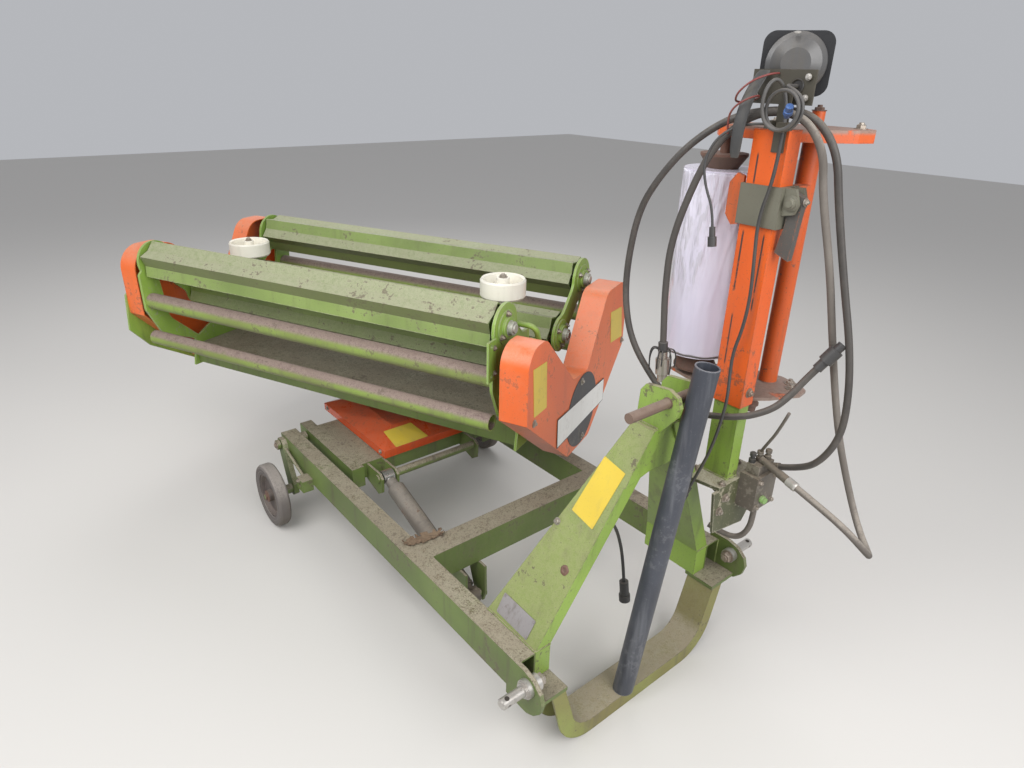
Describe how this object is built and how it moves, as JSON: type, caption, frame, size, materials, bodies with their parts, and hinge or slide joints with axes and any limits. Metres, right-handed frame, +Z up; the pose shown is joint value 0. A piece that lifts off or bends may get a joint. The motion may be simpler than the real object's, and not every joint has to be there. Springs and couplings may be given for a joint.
{
  "type": "round baler wrapper",
  "caption": "Three-point mounted bale wrapper: A-frame hitch, mast with film roll, tilting turntable with driven ribbed rollers, skid and small rear wheels.",
  "frame": {"origin": "middle of the footprint, on the ground", "axes": "+X forward to the hitch, +Y to the machine's left, +Z up"},
  "size_m": [2.8571, 1.5168, 1.74],
  "materials": {
    "bright_steel": "satin",
    "cable_black": "matte",
    "clamp_grey": "matte",
    "film": "satin",
    "frame_green": "worn satin paint",
    "grey_pipe": "matte",
    "hose_rubber": "matte",
    "lamp_shell": "satin",
    "nylon": "satin",
    "orange_paint": "satin paint",
    "rim_dark": "matte",
    "roller_green": "faded satin paint",
    "rust": "rusty",
    "tyre_rubber": "matte",
    "worn_steel": "dull"
  },
  "bodies": {
    "frame": {"main_frame": "frame_green", "headstock": "frame_green", "skid": "frame_green", "lower_pin_near": "worn_steel", "lower_pin_far": "worn_steel", "top_link_pin": "rust", "stand_tube": "grey_pipe", "mast_bracket": "frame_green", "mast_stub": "frame_green", "mast_post": "orange_paint", "lamp_bracket": "worn_steel", "work_lamp": "lamp_shell", "wheel_arm_near": "frame_green", "wheel_arm_far": "frame_green", "cable_mast": "cable_black", "cable_tape": "cable_black", "cable_wire": "cable_black", "coupler_1": "worn_steel", "coupler_2": "worn_steel", "hose_1": "hose_rubber", "hose_2": "hose_rubber", "plug_mast": "cable_black", "plug_tape": "cable_black", "plug_wire": "cable_black", "valve_block": "worn_steel"},
    "film_unit": {"mast_clamp": "clamp_grey", "clamp_lever": "clamp_grey", "film_carrier": "orange_paint"},
    "film_reel": {"film_roll": "film", "roll_cone_low": "rust", "roll_cone_high": "rust"},
    "stretch_a": {"stretch_roller_a": "worn_steel"},
    "stretch_b": {"stretch_roller_b": "worn_steel"},
    "bed": {"tilting_bed": "frame_green", "centre_cover": "orange_paint"},
    "turntable": {"table_spine": "frame_green", "end_frame_front": "roller_green", "end_frame_rear": "roller_green", "upper_tube_near": "frame_green", "upper_tube_far": "frame_green", "lower_tube_near": "frame_green", "lower_tube_far": "frame_green", "chain_cover_front": "orange_paint", "chain_cover_rear": "orange_paint", "rear_guard_plate": "frame_green", "guide_stem_front": "worn_steel", "guide_stem_rear": "worn_steel"},
    "roller_a": {"roller_a": "roller_green"},
    "roller_b": {"roller_b": "roller_green"},
    "roller_c": {"roller_c": "roller_green"},
    "roller_d": {"roller_d": "roller_green"},
    "guide_front": {"guide_roller_front": "nylon"},
    "guide_rear": {"guide_roller_rear": "nylon"},
    "barrel": {"cylinder_barrel": "worn_steel"},
    "rod": {"cylinder_rod": "bright_steel"},
    "wheel_near": {"tyre_near": "tyre_rubber", "rim_near": "rim_dark"},
    "wheel_far": {"tyre_far": "tyre_rubber", "rim_far": "rim_dark"}
  },
  "joints": [
    {"name": "film_height", "type": "slide", "parent": "frame", "child": "film_unit", "axis": [0, 0, 1], "range_m": [-0.1, 0.06]},
    {"name": "film_spin", "type": "hinge", "parent": "film_unit", "child": "film_reel", "pos_m": [0.95912, 0.31817, 1.2], "axis": [0, 0, 1], "continuous": true},
    {"name": "stretch_a_spin", "type": "hinge", "parent": "film_unit", "child": "stretch_a", "pos_m": [1.06712, 0.38517, 1.2], "axis": [0, 0, 1], "continuous": true},
    {"name": "stretch_b_spin", "type": "hinge", "parent": "film_unit", "child": "stretch_b", "pos_m": [1.08712, 0.31717, 1.2], "axis": [0, 0, 1], "continuous": true},
    {"name": "tilt", "type": "hinge", "parent": "frame", "child": "bed", "pos_m": [-0.38288, 0.01317, 0.292], "axis": [0, -1, 0], "range_deg": [0, 40]},
    {"name": "table_spin", "type": "hinge", "parent": "bed", "child": "turntable", "pos_m": [-0.34088, -0.02383, 0.45], "axis": [0, 0, 1], "continuous": true},
    {"name": "roller_a_spin", "type": "hinge", "parent": "turntable", "child": "roller_a", "pos_m": [-0.21249, -0.30819, 0.948], "axis": [0.9114, 0.4115, 0], "continuous": true},
    {"name": "roller_b_spin", "type": "hinge", "parent": "turntable", "child": "roller_b", "pos_m": [-0.46928, 0.26053, 0.948], "axis": [0.9114, 0.4115, 0], "continuous": true},
    {"name": "roller_c_spin", "type": "hinge", "parent": "turntable", "child": "roller_c", "pos_m": [-0.39438, 0.09466, 0.785], "axis": [0.9114, 0.4115, 0], "continuous": true},
    {"name": "roller_d_spin", "type": "hinge", "parent": "turntable", "child": "roller_d", "pos_m": [-0.28739, -0.14231, 0.785], "axis": [0.9114, 0.4115, 0], "continuous": true},
    {"name": "guide_front_spin", "type": "hinge", "parent": "turntable", "child": "guide_front", "pos_m": [0.34836, 0.11182, 1.02], "axis": [0, 0, 1], "continuous": true},
    {"name": "guide_rear_spin", "type": "hinge", "parent": "turntable", "child": "guide_rear", "pos_m": [-1.02002, -0.22075, 0.922], "axis": [0, 0, 1], "continuous": true},
    {"name": "barrel_swing", "type": "hinge", "parent": "frame", "child": "barrel", "pos_m": [0.60711, -0.20183, 0.11], "axis": [0, 1, 0], "range_deg": [0, 17.63]},
    {"name": "rod_slide", "type": "slide", "parent": "barrel", "child": "rod", "axis": [-0.9415, 0, 0.3371], "range_m": [0, 0.244]},
    {"name": "wheel_near_spin", "type": "hinge", "parent": "frame", "child": "wheel_near", "pos_m": [-0.31389, -0.49183, 0.125], "axis": [0, 1, 0], "continuous": true},
    {"name": "wheel_far_spin", "type": "hinge", "parent": "frame", "child": "wheel_far", "pos_m": [-0.31389, 0.51817, 0.125], "axis": [0, 1, 0], "continuous": true}
  ],
  "couplings": [
    {"joint": "roller_b_spin", "follows": "roller_a_spin", "ratio": 1},
    {"joint": "roller_c_spin", "follows": "roller_a_spin", "ratio": 1},
    {"joint": "roller_d_spin", "follows": "roller_a_spin", "ratio": 1},
    {"joint": "barrel_swing", "follows": "tilt", "ratio": 0.43957},
    {"joint": "rod_slide", "follows": "tilt", "m_per_rad": 0.3492}
  ]
}
